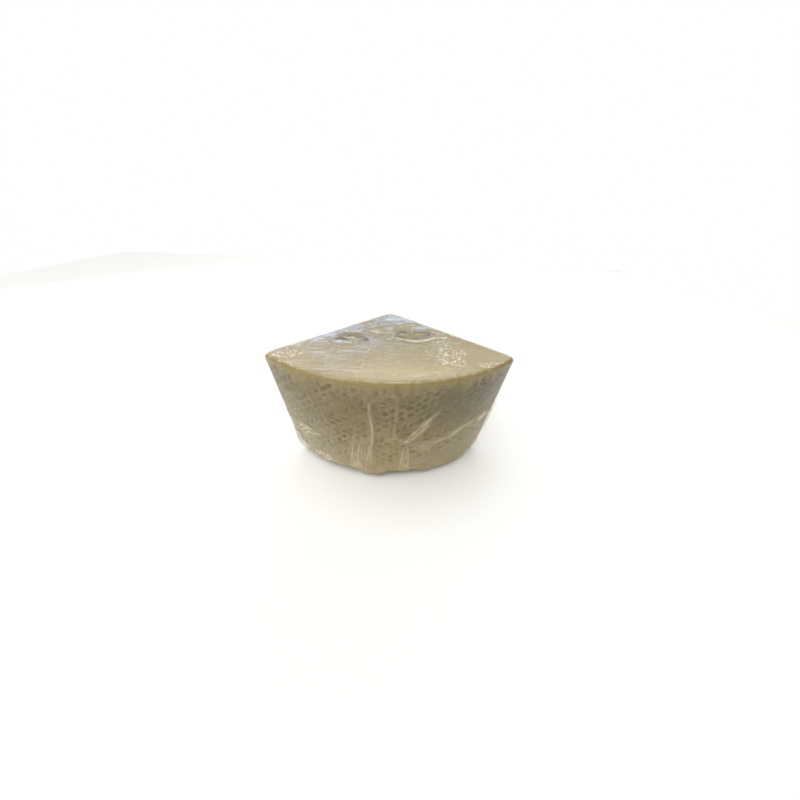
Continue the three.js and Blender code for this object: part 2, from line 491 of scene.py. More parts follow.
def cheese_top(skin):
    """Shape the level cut. Gives how far rind, moisture with painted shade beside the hollows, and tears
    show, and the painted shade towards the point and painted light at the front.
    """
    x, y = skin.top[..., 0], skin.top[..., 1]
    place = (x / MM, y / MM)
    share, hollow = hollow_share(*place)

    # It keeps the wire's long faint strokes, and is crumbly and torn in its hollows
    wire_marks = layered_noise(skin.top, (34, 2.6, 1000), 19)
    crumbs = layered_noise(skin.top, (5, 5, 1000), 23)
    skin.top[..., 2] += -hollow + 0.06 * MM * wire_marks + share * 1.1 * MM * np.minimum(crumbs, 0.12)
    ragged = layered_noise(skin.top, (6, 4, 1000), 31)
    tears = np.clip(patches(*place, TEARS) + 0.35 * ragged * (share > 0), 0, 1)
    tears *= smoothstep(share, 0, 0.1)
    skin.top[..., 2] -= 1.2 * MM * tears

    fromaxis = np.hypot(x, y)
    rind = 0.30 * (1 - smoothstep(WHEEL_RADIUS - fromaxis, 2.5 * MM, 6.5 * MM))
    # The hollows are moist, and the patches beside them are painted shade
    moist_and_shade = np.maximum(share, patches(*place, HOLLOW_SHADE_PATCHES))
    # Painted shade towards the point, and painted light, as negative values, along the front
    inner = smoothstep(-fromaxis, -152 * MM, -80 * MM) - patches(*place, LIT_FRONT_PATCHES)
    return rind, moist_and_shade, tears, inner


def make_cheese():
    skin = Skin(FOOT_GAP, HEIGHT - FILM_GAP, FILM_GAP, CHEESE_RIM_ROUND, CHEESE_STEPS)
    side_rind, upper_right_shade, pit_shade_and_lip_light = cheese_side(skin)
    top_rind, moist_and_shade, tears, inner = cheese_top(skin)
    attributes = {
        "rind": (1, side_rind, top_rind),
        "upper_right_shade": (0, upper_right_shade, 0),
        "pit": (0, pit_shade_and_lip_light, 0),
        "hollow": (0, 0, moist_and_shade),
        "tear": (0, 0, tears),
        "inner": (0, 0, inner),
    }
    return skin.build("cheese", attributes)


# The film's creases and ribbons

# A crease is a route of points in the plane of a face, with a half width, a height over the film
# round it, and a haze: how white its doubled film looks, its highest values painted glints and
# reflections. It is given in millimetres and kept in metres, and so is a ribbon.


def smooth_route(points, rounds=2):
    """A route with its corners cut off, which keeps its ends."""
    route = np.array(points, float) * MM
    for _ in range(rounds):
        early = 0.75 * route[:-1] + 0.25 * route[1:]
        late = 0.25 * route[:-1] + 0.75 * route[1:]
        inner = np.stack([early, late], axis=1).reshape(-1, 2)
        route = np.concatenate([route[:1], inner, route[-1:]])
    return route


def crease(points, half, proud, haze_and_glint):
    return {"route": smooth_route(points), "half": half * MM, "proud": proud * MM, "haze_and_glint": haze_and_glint}


def uneven_crease(rng, points, half, proud, haze_and_glint):
    """A crease whose half width, height and haze are each drawn from a range."""
    return crease(points, rng.uniform(*half), rng.uniform(*proud), rng.uniform(*haze_and_glint))


def on_rind(points):
    """Places given as degrees round the wheel and millimetres of height, all in millimetres."""
    return np.array(points, float) * (RIM_TURN / MM, 1)


def nearest_on_route(u, v, route):
    """The signed distance to a route, how far along it the nearest place is, and its length."""
    lengths = np.linalg.norm(np.diff(route, axis=0), axis=1)
    walked = np.concatenate([[0], np.cumsum(lengths)])
    best = np.full(u.shape, np.inf)
    signed = np.zeros(u.shape)
    travelled = np.zeros(u.shape)
    for start, end, length, before in zip(route, route[1:], lengths, walked):
        ahead = (end - start) / length
        du, dv = u - start[0], v - start[1]
        along = np.clip(du * ahead[0] + dv * ahead[1], 0, length)
        offset = np.hypot(du - along * ahead[0], dv - along * ahead[1])
        side = np.sign(ahead[0] * dv - ahead[1] * du)
        closer = offset < best
        best = np.where(closer, offset, best)
        signed = np.where(closer, side * offset, signed)
        travelled = np.where(closer, before + along, travelled)
    return signed, travelled, walked[-1]


def near_route(u, v, route, reach):
    low = route.min(0) - reach
    high = route.max(0) + reach
    return (u > low[0]) & (u < high[0]) & (v > low[1]) & (v < high[1])


def crease_relief(u, v, creases):
    """How proud the film stands and how hazy it is, with painted glints where hazier, at places in a
    face's plane.
    """
    proud = np.zeros(u.shape)
    haze_and_glint = np.zeros(u.shape)
    for item in creases:
        near = near_route(u, v, item["route"], 3 * item["half"])
        if not near.any():
            continue
        signed, travelled, length = nearest_on_route(u[near], v[near], item["route"])
        taper = np.sqrt(np.clip(np.sin(math.pi * (0.04 + 0.92 * travelled / length)), 0, 1))
        steep = np.where(signed > 0, item["half"] * 1.5, item["half"] * 0.75)
        ridge = np.exp(-((signed / steep) ** 2)) * taper
        soft = np.exp(-((signed / item["half"]) ** 2)) * taper
        proud[near] = np.maximum(proud[near], item["proud"] * ridge)
        haze_and_glint[near] = np.maximum(haze_and_glint[near], item["haze_and_glint"] * soft)
    return proud, haze_and_glint


# A ribbon is a run of film drawn into fine strands: a route with half widths along it, the
# number of strands from its middle to its side, and how strongly they show.


STRAND_RUN = 34 * MM  # length over which a strand wanders
RIBBON_STEP = 17  # keeps the strands of one ribbon unlike the next one's


def ribbon(points, half_widths, strands, strength):
    widths = np.array(half_widths) * MM
    return {"route": smooth_route(points), "widths": widths, "strands": strands, "strength": strength}


def ribbon_strands(u, v, ribbons):
    """How strongly strands show, and the place across and along them, at places in a face."""
    strength = np.zeros(u.shape)
    across = np.zeros(u.shape)
    along = np.zeros(u.shape)
    for number, item in enumerate(ribbons):
        near = near_route(u, v, item["route"], item["widths"].max())
        if not near.any():
            continue
        signed, travelled, length = nearest_on_route(u[near], v[near], item["route"])
        share = travelled / length
        side = signed / np.interp(share, np.linspace(0, 1, len(item["widths"])), item["widths"])
        fade = smoothstep(share, 0, 0.03) * (1 - smoothstep(share, 0.72, 1))
        here = item["strength"] * (1 - smoothstep(np.abs(side), 0.55, 1)) * fade
        stronger = here > strength[near]
        strand = side * item["strands"] + RIBBON_STEP * number
        strength[near] = np.where(stronger, here, strength[near])
        across[near] = np.where(stronger, strand, across[near])
        along[near] = np.where(stronger, travelled / STRAND_RUN, along[near])
    return strength, across, along


def gathers(rng, centre, spread, count, base, reach, drawn=0.4):
    """Creases that rise from a face's foot and draw together, as film pulled under the piece."""
    made = []
    for _ in range(count):
        foot = centre + spread * rng.uniform(-1, 1)
        head = centre + (foot - centre) * drawn + spread * rng.normal(0, 0.12)
        top = base + reach * rng.uniform(0.35, 1.0)
        middle = ((foot + head) / 2 + spread * rng.normal(0, 0.08), (base + top) / 2)
        points = [(foot, base), middle, (head, top)]
        made.append(uneven_crease(rng, points, (0.7, 1.0), (0.35, 0.9), (0.16, 0.44)))
    return made


def heading(turn):
    return np.array([math.cos(turn), math.sin(turn)])


def strokes(rng, count, low, high, slant, scatter, length, proud, haze_and_glint, half=(0.7, 1.1)):
    """Scattered nearly straight creases in a box of a face, all leaning about the same way."""
    made = []
    for _ in range(count):
        middle = rng.uniform(low, high)
        turn = slant + rng.normal(0, scatter)
        step = heading(turn) * rng.uniform(*length) / 2
        bow = np.array([-step[1], step[0]]) * rng.normal(0, 0.10)
        points = [middle - step, middle + bow, middle + step]
        made.append(uneven_crease(rng, points, half, proud, haze_and_glint))
    return made


def crackle(rng, count, centre, half, length, proud, haze_and_glint):
    """A patch of short creases every way, where the film has shrunk and puckered."""
    made = []
    for _ in range(count):
        turn, out = rng.uniform(0, 2 * math.pi), math.sqrt(rng.uniform(0, 1))
        middle = np.array(centre) + np.array(half) * out * heading(turn)
        lean = rng.uniform(0, math.pi)
        step = heading(lean) * rng.uniform(*length) / 2
        made.append(uneven_crease(rng, [middle - step, middle + step], (0.6, 0.9), proud, haze_and_glint))
    return made


# Folds: a route, a half width, a height and a haze, whose highest values are painted glints.
# Over the rind a place is degrees and height.
RIND_FOLDS = [
    # the long fold left of the middle, its branch and a thin one that runs into its head
    (
        [(-7.4, 113), (-7.3, 101), (-7, 89), (-6.4, 74), (-6.8, 61), (-8.8, 38), (-10, 19), (-10.6, 5)],
        1.1,
        1.1,
        0.42,
    ),
    ([(-7.2, 56), (-7.5, 47), (-7.7, 34), (-8.2, 8)], 0.9, 0.8, 0.34),
    ([(-12, 114), (-10.4, 109), (-8.7, 104), (-7.5, 100)], 0.8, 0.5, 0.14),
    # strands of the left gather
    ([(-13.8, 61), (-14.6, 40), (-16.1, 5)], 0.9, 0.9, 0.42),
    ([(-11.7, 60), (-12.5, 36), (-13.8, 5)], 0.9, 0.9, 0.38),
    ([(-10.4, 58), (-11.1, 37), (-12.2, 5)], 0.8, 0.7, 0.30),
    ([(-6.4, 52), (-5, 41), (-3.2, 21), (-1.6, 6)], 0.9, 0.6, 0.26),
    # strands of the middle gather, under its knot
    ([(4.2, 61), (4, 40), (3.4, 21), (2.8, 4)], 1.0, 1.0, 0.46),
    ([(4.9, 60), (4.7, 40), (5.5, 4)], 0.8, 0.8, 0.34),
    ([(5.5, 58), (6.3, 37), (7.7, 4)], 1.0, 1.0, 0.46),
    ([(5.2, 57), (7.4, 40), (9.6, 5)], 0.8, 0.6, 0.26),
    # folds that fan out of the knot
    ([(4.5, 61.5), (2.3, 66), (1.2, 69), (0.5, 76), (0.7, 85), (1, 98), (1.2, 116)], 0.9, 0.7, 0.44),
    ([(4.7, 61), (7.3, 72), (9.4, 81), (11.1, 86), (12.5, 92), (16, 103)], 1.0, 1.1, 0.44),
    ([(5.2, 59.5), (7.9, 66), (9.4, 72.6), (10.8, 81)], 1.0, 0.9, 0.40),
    ([(6.2, 53), (10.6, 46.6), (15.6, 42)], 1.9, 0.7, 0.36),
    ([(15.4, 43), (16.2, 30), (16.9, 12)], 1.2, 0.5, 0.18),
    ([(5.7, 58.5), (10.1, 58), (13.9, 57), (18, 55), (20.3, 55.7)], 1.0, 0.8, 0.30),
    ([(12.8, 57), (20.3, 55.7), (23.1, 60), (25, 64), (28.7, 68), (33.4, 72), (38, 74)], 1.4, 1.3, 0.56),
    ([(36, 67), (33.8, 63), (31.2, 54), (27.6, 50)], 0.9, 0.6, 0.20),
    # short folds at the left corner
    ([(-39, 61), (-36, 56.4), (-33.6, 54), (-31.4, 51)], 0.9, 0.9, 0.75),
    ([(-36.5, 62), (-34, 59.4), (-31.2, 57.6), (-29, 52)], 0.9, 0.9, 0.75),
    ([(-32, 50), (-28.5, 52), (-25, 58)], 0.9, 0.7, 0.55),
    ([(-21.9, 69), (-22.9, 50)], 0.8, 0.4, 0.20),
    # wide soft ones along the main folds
    ([(-7, 96), (-6.6, 74), (-7.2, 54), (-9, 30), (-10.4, 6)], 2.2, 0.3, 0.20),
    ([(4.6, 58), (8.3, 70), (11.4, 81), (15, 98)], 3.0, 0.3, 0.26),
    ([(5, 57), (7.6, 64), (10.4, 76)], 2.4, 0.3, 0.20),
    ([(6, 54), (11, 50), (17, 47)], 4.2, 0.3, 0.26),
    ([(15, 53), (21, 56), (25, 62), (31, 68), (40, 74)], 3.6, 0.3, 0.34),
    ([(5, 60), (4.9, 40), (5.2, 22)], 4.0, 0.3, 0.18),
    ([(3.4, 62), (4.8, 60.4), (6.6, 59.6)], 1.3, 0.3, 0.62),
]
# Over the level cut the hazier folds are painted glints: white lines where ridges of film catch the
# light
TOP_FOLDS = [
    ([(-22, -60), (-17, -64), (-12, -65)], 1.3, 1.0, 0.95),
    ([(-12, -65), (-4, -66.5), (4, -64)], 0.8, 0.8, 0.60),
    ([(1, -74), (6, -80), (12, -83)], 0.9, 0.9, 0.60),
    ([(10, -82), (20, -86), (31, -85)], 1.0, 1.1, 0.85),
    ([(32, -84), (40, -78), (43, -72)], 1.4, 1.2, 1.00),
    ([(40, -80), (48, -73)], 1.1, 0.8, 0.80),
    ([(-49, -72), (-44, -77), (-41, -74), (-36, -72)], 0.9, 0.8, 0.85),
    ([(-37, -77), (-33, -79), (-29, -77)], 0.9, 0.8, 0.80),
    ([(-45, -90), (-40, -91.5)], 1.0, 0.8, 0.85),
    ([(-31, -88), (-25, -85)], 0.8, 0.7, 0.70),
    ([(2, -38), (9, -40), (14, -38)], 0.9, 0.7, 0.80),
    ([(16, -42), (24, -44), (31, -48)], 0.8, 0.6, 0.70),
    ([(-6, -26), (0, -28), (5, -26)], 0.8, 0.6, 0.70),
    ([(12, -22), (20, -31), (29, -40)], 0.9, 0.7, 0.80),
    ([(34, -44), (42, -52), (49, -58)], 0.9, 0.7, 0.85),
    ([(40, -58), (47, -64), (56, -68)], 0.9, 0.7, 0.80),
    ([(-16, -102), (-8, -105), (4, -103)], 1.0, 0.6, 0.34),
    ([(-6, -113), (6, -114), (15, -112)], 1.0, 0.5, 0.22),
    ([(-78, -107), (-70, -108), (-62, -106)], 0.9, 0.6, 0.36),
    ([(8, -150), (18, -150), (34, -145)], 1.1, 0.7, 0.40),
]

# One long fold over each upright cut, by its side
CUT_FOLDS = {
    1: ([(10, 18), (50, 46), (96, 78), (150, 112)], 1.1, 0.7, 0.42),
    -1: ([(8, 104), (60, 78), (104, 60), (148, 30)], 1.1, 0.7, 0.42),
}

# Bundles of gathers at the foot: the middle, the spread, how many and how high they reach
RIND_GATHERS = [
    (-36, 5.0, 7, 20),
    (-26, 4.0, 5, 24),
    (-13, 3.6, 9, 50),
    (-4, 4.0, 5, 30),
    (5.6, 2.6, 7, 52),
    (15, 4.0, 6, 30),
    (27, 5.0, 6, 22),
    (38, 4.0, 6, 24),
]
CUT_GATHERS = [(22, 14, 12, 42), (62, 18, 12, 34), (104, 18, 14, 46), (136, 9, 9, 38)]

# Crackled patches: how many creases, the middle, the half sizes, and over the rind the ranges of
# their length, height and haze, whose highest values are painted glints, over the level cut only
# that of their height
RIND_CRACKLE = [
    # a star of painted glints at the right corner
    (9, (36.8, 67), (3, 4), (10, 17), (0.8, 1.1), (0.9, 1.0)),
    (16, (-35, 50), (17, 6), (5, 12), (0.3, 0.7), (0.15, 0.5)),
    (14, (-29, 17), (12, 6), (4, 9), (0.3, 0.7), (0.15, 0.5)),
]
TOP_CRACKLE = [
    (110, (51, -101), (16, 34), (0.12, 0.26)),
    (60, (-90, -113), (12, 9), (0.15, 0.3)),
    (40, (-58, -92), (26, 10), (0.15, 0.35)),
    (26, (0, -40), (12, 18), (0.2, 0.5)),
]

# Ribbons: a route, half widths along it, strands and strength
RIND_RIBBONS = [
    ([(-12.6, 1), (-12.2, 40), (-11.6, 62), (-10.6, 80)], (15, 12, 10, 5), 3.0, 0.85),
    ([(-7.4, 113), (-7, 89), (-6.4, 74), (-7.2, 56), (-8.4, 30), (-9, 4)], (2, 3, 4, 5, 7, 8), 1.6, 0.8),
    ([(5.9, 1), (5, 40), (4.6, 62)], (12, 7, 3), 3.4, 0.85),
    ([(4.6, 58), (8.3, 71), (11, 82), (14, 97)], (3, 7, 6, 2), 2.2, 0.9),
    ([(5, 57), (14, 55), (21, 57), (28, 65), (38, 71), (45, 74)], (3, 5, 7, 9, 10, 8), 2.6, 0.8),
    ([(-45, 63), (-36, 57), (-30, 52), (-23, 55)], (9, 8, 6, 3), 3.0, 0.9),
    ([(4.5, 60), (0, 68), (-5, 71)], (2, 6, 7), 2.0, 0.5),
    ([(-33, 2), (-32, 36)], (20, 12), 4.0, 0.6),
    ([(-22, 2), (-21, 30)], (14, 10), 3.0, 0.5),
    ([(24, 2), (24, 36)], (20, 16), 5.0, 0.45),
    ([(37, 2), (37, 40)], (18, 14), 5.0, 0.5),
    ([(-30, 119), (-8, 117), (16, 118), (40, 119)], (8, 8, 8, 8), 2.0, 0.2),
    ([(-40, 92), (-24, 100), (-12, 112)], (9, 12, 6), 3.0, 0.22),
    ([(40, 100), (26, 92), (16, 104)], (9, 12, 6), 3.0, 0.12),
]
CUT_RIBBONS = [
    ([(24, 1), (24, 46)], (20, 8), 5.0, 0.9),
    ([(64, 1), (60, 40)], (20, 9), 5.0, 0.8),
    ([(106, 1), (108, 52)], (20, 8), 5.0, 0.9),
    ([(140, 1), (137, 42)], (14, 7), 4.0, 0.8),
    ([(8, 116), (80, 112), (150, 118)], (9, 11, 9), 3.0, 0.35),
]
SLANTING_RIBBONS = {
    1: ([(12, 24), (56, 50), (100, 84), (152, 112)], (5, 9, 12, 14), 3.0, 0.6),
    -1: ([(150, 30), (104, 62), (60, 84), (12, 108)], (4, 9, 12, 10), 3.0, 0.6),
}
CUT_RIBBON_SHIFT = 3  # away from the point on one side and towards it on the other
TOP_RIBBONS = [
    ([(-104, -118), (-50, -124), (0, -131), (50, -124), (104, -118)], (8, 14, 18, 14, 8), 5.0, 0.34),
    ([(-84, -96), (-44, -104), (10, -104), (70, -98)], (8, 13, 13, 8), 4.0, 0.32),
    ([(-30, -60), (-14, -65), (-4, -66), (8, -63)], (3, 5, 5, 4), 1.6, 0.9),
    ([(2, -76), (14, -83), (31, -84), (44, -73), (52, -62)], (4, 5, 5, 5, 4), 1.6, 0.9),
    ([(-12, -20), (4, -24), (16, -20)], (6, 9, 6), 3.0, 0.8),
    ([(0, -36), (18, -38), (34, -42)], (5, 8, 6), 3.0, 0.8),
    ([(-60, -88), (-42, -91), (-26, -86)], (4, 6, 4), 2.0, 0.8),
]


def rind_creases():
    """The folds over the rind: the main ones listed, and the small ones scattered."""
    rng = np.random.default_rng(29)
    made = [crease(on_rind(route), *rest) for route, *rest in RIND_FOLDS]
    for degrees, spread, count, reach in RIND_GATHERS:
        centre, width = on_rind([(degrees, 0), (spread, 0)])[:, 0]
        made += gathers(rng, centre, width, count, 2.5, reach)
    low, high = on_rind([(-45, 12), (45, 112)])
    made += strokes(rng, 26, low, high, math.radians(62), 0.35, (18, 60), (0.1, 0.3), (0.03, 0.12))
    made += strokes(rng, 20, low, high, math.radians(160), 0.4, (14, 45), (0.1, 0.3), (0.03, 0.12))
    for count, centre, *rest in RIND_CRACKLE:
        made += crackle(rng, count, on_rind(centre), *rest)
    return made


def cut_creases(side):
    """The folds over an upright cut, by distance from the wheel's axis and height."""
    rng = np.random.default_rng(37 + side)
    made = [crease(*CUT_FOLDS[side])]
    for centre, spread, count, reach in CUT_GATHERS:
        made += gathers(rng, centre, spread, count, 1.5, reach, 0.55)
    low, high = (14, 14), (140, 118)
    lean = math.radians(90 - side * 34)
    made += strokes(rng, 16, low, high, lean, 0.25, (30, 85), (0.2, 0.6), (0.05, 0.20))
    made += strokes(rng, 22, low, high, math.radians(8), 0.3, (18, 60), (0.1, 0.35), (0.03, 0.14))
    made += crackle(rng, 30, (30, 96), (16, 20), (4, 9), (0.2, 0.45), (0.05, 0.2))
    return made


def top_creases():
    """The folds over the level cut, by place from the wheel's axis."""
    rng = np.random.default_rng(43)
    made = [crease(*fold) for fold in TOP_FOLDS]
    low, high = (-80, -150), (80, -70)
    made += strokes(rng, 56, low, high, 0.0, 0.12, (12, 50), (0.05, 0.2), (0.02, 0.16), (0.9, 1.6))
    low, high = (-34, -76), (34, -16)
    made += strokes(rng, 34, low, high, 0.1, 0.5, (7, 22), (0.2, 0.6), (0.05, 0.3))
    for count, centre, half, proud in TOP_CRACKLE:
        made += crackle(rng, count, centre, half, (4, 9), proud, (0.02, 0.16))
    return made


def foot_creases():
    """Pleats under the piece, drawn in from its edge towards the middle."""
    rng = np.random.default_rng(47)
    middle = np.array([0, -WHEEL_RADIUS / 2 / MM])
    made = []
    for turn in np.arange(0, 2 * math.pi, math.radians(4.5)):
        out = heading(turn + rng.normal(0, 0.02))
        far, near = rng.uniform(70, 90), rng.uniform(8, 30)
        sway = np.array([-out[1], out[0]]) * rng.normal(0, 3)
        points = [middle + out * far, middle + out * (far + near) / 2 + sway, middle + out * near]
        made.append(crease(points, rng.uniform(1.0, 1.8), 0.6, rng.uniform(0.15, 0.4)))
    return made


def cut_ribbons(side):
    shift = (side * CUT_RIBBON_SHIFT, 0)
    runs = CUT_RIBBONS + [SLANTING_RIBBONS[side]]
    return [ribbon(np.array(route) + shift, *rest) for route, *rest in runs]


# The film


def film_side(skin):
    """Shape the film over the rind and the upright cuts. Gives its attributes there in turn."""
    s, z = skin.rind_places()
    degrees = s / RIM_TURN
    near_rind = skin.near_rind
    under_cut = smoothstep(HEIGHT - z, 0, 8 * MM)

    # Over the rind: folds, gathers off the foot, slack film at the corners, and small slack
    proud, haze_and_glint = crease_relief(s, z, rind_creases())
    ripple = 0.10 * MM * (1 + layered_noise(skin.side, (7, 7, 16), 53))
    loose = film_flares(s, z) + MM * patches(degrees, z / MM, SLACK)
    over_foot = smoothstep(z, 0.5 * MM, 6 * MM)
    relief = near_rind * under_cut * (over_foot * np.maximum(proud, ripple) + loose)
    haze_and_glint = near_rind * over_foot * haze_and_glint
    # whitish slack film, partly painted light where the rind's left is lighter
    veil_and_light = near_rind * patches(degrees, z / MM, RIND_VEILS_AND_LIGHT)
    ribbons = [ribbon(on_rind(route), *rest) for route, *rest in RIND_RIBBONS]
    strands = [near_rind * share for share in ribbon_strands(s, z, ribbons)]
    strands[0] = strands[0] * over_foot

    # Over each upright cut
    ripple = 0.08 * MM * (1 + layered_noise(skin.side, (14, 14, 6), 59))
    for side in (1, -1):
        here = (np.sign(skin.side[..., 0]) == side) & ~near_rind
        proud, cut_haze_and_glint = crease_relief(skin.fromaxis, z, cut_creases(side))
        inland = smoothstep(skin.depth_in, 4 * MM, 14 * MM)
        inland = inland * smoothstep(skin.fromaxis, 4 * MM, 12 * MM) * smoothstep(z, 0, 5 * MM)
        relief = np.where(here, inland * under_cut * np.maximum(proud, ripple), relief)
        haze_and_glint = np.where(here, cut_haze_and_glint * inland, haze_and_glint)
        cut_strands = ribbon_strands(skin.fromaxis, z, cut_ribbons(side))
        strands = [np.where(here, drawn, before) for drawn, before in zip(cut_strands, strands)]
    skin.side += relief[..., None] * skin.side_normals
    skin.side[..., 2] = np.clip(skin.side[..., 2], 0, HEIGHT)

    height = skin.side[..., 2] / MM
    over_rind = RIND_PUCKER + patches(degrees, height, RIND_PUCKERS)
    over_cut = CUT_PUCKER + patches(skin.fromaxis / MM, height, CUT_PUCKERS)
    return haze_and_glint, veil_and_light, 0, np.where(near_rind, over_rind, over_cut), *strands


def film_top(skin):
    """Lay the film close on the level cut and its hollows. Gives its attributes there in turn."""
    x, y = skin.top[..., 0], skin.top[..., 1]
    place = (x / MM, y / MM)
    proud, haze_and_glint = crease_relief(x, y, top_creases())
    inland = smoothstep(ring_shares(FILM_STEPS["top"]), 0, 0.06)
    share, hollow = hollow_share(*place)
    drawn = layered_noise(skin.top, (30, 4.5, 1000), 61)
    crumpled = layered_noise(skin.top, (7, 5, 1000), 71)
    loose = 0.018 * MM * drawn + share * 0.5 * MM * np.maximum(crumpled, -0.6)
    skin.top[..., 2] += inland * (proud - hollow + loose)
    # a whitish veil of slack film near the rim, which is also painted light on the level cut's front
    near_rim = smoothstep(np.hypot(x, y), WHEEL_RADIUS - 50 * MM, WHEEL_RADIUS - 6 * MM)
    drift = 0.5 + 0.5 * layered_noise(skin.top, (40, 7, 1000), 67)
    veil_and_light = 0.28 * near_rim * np.clip(drift, 0, 1)
    # painted blue reflection of the sky
    blue_reflection = patches(*place, TOP_BLUE_REFLECTIONS)
    pucker = TOP_PUCKER + patches(*place, TOP_PUCKERS)
    strands = ribbon_strands(x, y, [ribbon(*row) for row in TOP_RIBBONS])
    return haze_and_glint * inland, veil_and_light, blue_reflection, pucker, *strands


def film_foot(skin):
    """Pleat the film under the piece and draw it up a little between the pleats."""
    inland = smoothstep(ring_shares(FILM_STEPS["foot"])[::-1], 0, 0.16)
    proud, haze_and_glint = crease_relief(skin.foot[..., 0], skin.foot[..., 1], foot_creases())
    skin.foot[..., 2] += inland * np.clip(FOOT_SLACK - proud, 0, None)
    return haze_and_glint, 0, 0, FOOT_PUCKER, 0, 0, 0


def make_film():
    skin = Skin(0.0, HEIGHT, 0.0, CUT_EDGE_ROUND, FILM_STEPS)
    labels = ("haze_and_glint", "veil_and_light", "blue_reflection", "pucker", "strand", "across", "along")
    values = zip(film_foot(skin), film_side(skin), film_top(skin))
    return skin.build("film", dict(zip(labels, values)))


# Materials


class Nodes:
    """A material's node tree, with short ways to add and join nodes."""

    def __init__(self, name):
        self.material = bpy.data.materials.new(name)
        self.material.use_nodes = True
        self.tree = self.material.node_tree
        self.tree.nodes.clear()
        self.place = self.add("ShaderNodeTexCoord").outputs["Object"]

    def fill(self, socket, value):
        """Link an input to the output that is given, or set it to a constant."""
        if isinstance(value, bpy.types.NodeSocket):
            self.tree.links.new(value, socket)
        else:
            socket.default_value = value

    def add(self, kind, inputs=None, **settings):
        node = self.tree.nodes.new(kind)
        for key, value in settings.items():
            setattr(node, key, value)
        for key, value in (inputs or {}).items():
            self.fill(node.inputs[key], value)
        return node

    def attribute(self, label):
        return self.add("ShaderNodeAttribute", attribute_name=label).outputs["Fac"]

    def noise(self, scale, detail, rough=0.5, stretch=None, place=None):
        place = place or self.place
        if stretch:
            place = self.add("ShaderNodeMapping", {"Vector": place, "Scale": stretch}).outputs["Vector"]
        inputs = {"Vector": place, "Scale": scale, "Detail": detail, "Roughness": rough}
        return self.add("ShaderNodeTexNoise", inputs).outputs["Fac"]

    def spread(self, value, low, high, to_low=0.0, to_high=1.0):
        """value moved from one range to another, and held inside it."""
        inputs = {"Value": value, "From Min": low, "From Max": high, "To Min": to_low, "To Max": to_high}
        return self.add("ShaderNodeMapRange", inputs).outputs["Result"]

    def crest(self, value, middle, width):
        """A smooth crest: 1 where value is at its middle, and 0 from width away."""
        away = self.math("SUBTRACT", value, middle)
        away = self.add("ShaderNodeMath", {0: away}, operation="ABSOLUTE").outputs[0]
        inputs = {"Value": away, "From Min": 0.0, "From Max": width, "To Min": 1.0, "To Max": 0.0}
        node = self.add("ShaderNodeMapRange", inputs, interpolation_type="SMOOTHSTEP")
        return node.outputs["Result"]

    def math(self, operation, value, *others):
        """Values joined by one operation, in turn."""
        for other in others:
            value = self.add("ShaderNodeMath", {0: value, 1: other}, operation=operation).outputs[0]
        return value

    def times(self, *values):
        return self.math("MULTIPLY", *values)

    def plus(self, *values):
        return self.math("ADD", *values)

    def mix(self, share, first, second):
        node = self.add("ShaderNodeMix", data_type="RGBA")
        values = {"Factor_Float": share, "A_Color": first, "B_Color": second}
        for socket in node.inputs:
            if socket.identifier in values:
                self.fill(socket, values[socket.identifier])
        return next(s for s in node.outputs if s.identifier == "Result_Color")

    def layered(self, colour, layers):
        """A colour with others laid over it in turn, each with its share."""
        for share, over in layers:
            colour = self.mix(share, colour, over)
        return colour

    def bumped(self, layers):
        """A normal from layers of height, strength and distance, each laid over the last."""
        normal = {}
        for height, strength, distance in layers:
            inputs = {"Height": height, "Strength": strength, "Distance": distance, **normal}
            normal = {"Normal": self.add("ShaderNodeBump", inputs).outputs["Normal"]}
        return normal["Normal"]

    def output(self, shader):
        self.add("ShaderNodeOutputMaterial", {"Surface": shader})
        return self.material


# Linear colours
PASTE = (0.560, 0.480, 0.295, 1)
PASTE_WARM = (0.500, 0.418, 0.240, 1)
PASTE_PALE = (0.590, 0.520, 0.360, 1)
# painted shade towards the point of the level cut
PASTE_BACK_SHADE = (0.270, 0.240, 0.160, 1)
# painted light along the front of the level cut
PASTE_FRONT_LIGHT = (0.680, 0.580, 0.350, 1)
# moist paste, and painted shade beside the hollows
MOIST_AND_SHADE = (0.192, 0.166, 0.080, 1)
# painted shade in the torn holes of the level cut
TEAR_SHADE = (0.085, 0.066, 0.028, 1)
RIND = (0.328, 0.252, 0.084, 1)
RIND_DIM = (0.250, 0.192, 0.070, 1)
# painted shade for the rind's upper edge and right
RIND_UPPER_RIGHT_SHADE = (0.118, 0.086, 0.022, 1)
# random pale mottle, and also painted light low down and painted highlight on the marks' lips
RIND_PALE = (0.500, 0.405, 0.192, 1)
RIND_EDGE = (0.385, 0.295, 0.098, 1)
# painted shadow under the rind's foot
RIND_FOOT_SHADOW = (0.045, 0.040, 0.026, 1)
# dark specks of the rind, and painted shade in its pits
SPECK_AND_PIT_SHADE = (0.128, 0.094, 0.022, 1)
FILM_CLEAR = (0.985, 0.985, 0.975, 1)
FILM_DIMMED = (0.66, 0.63, 0.52, 1)
FILM_VEIL = (0.720, 0.690, 0.580, 1)
FILM_CREASE = (0.830, 0.715, 0.480, 1)
# diffuse white for painted glints
FILM_GLINT = (0.980, 0.940, 0.820, 1)
# painted blue reflection of the sky in the film
FILM_BLUE_REFLECTION = (0.780, 0.850, 0.980, 1)
FLOOR = (0.955, 0.955, 0.95, 1)
FLOOR_PALE = (0.975, 0.975, 0.97, 1)
ROOM = (0.22, 0.22, 0.225, 1)
WHITE = (1, 1, 1, 1)


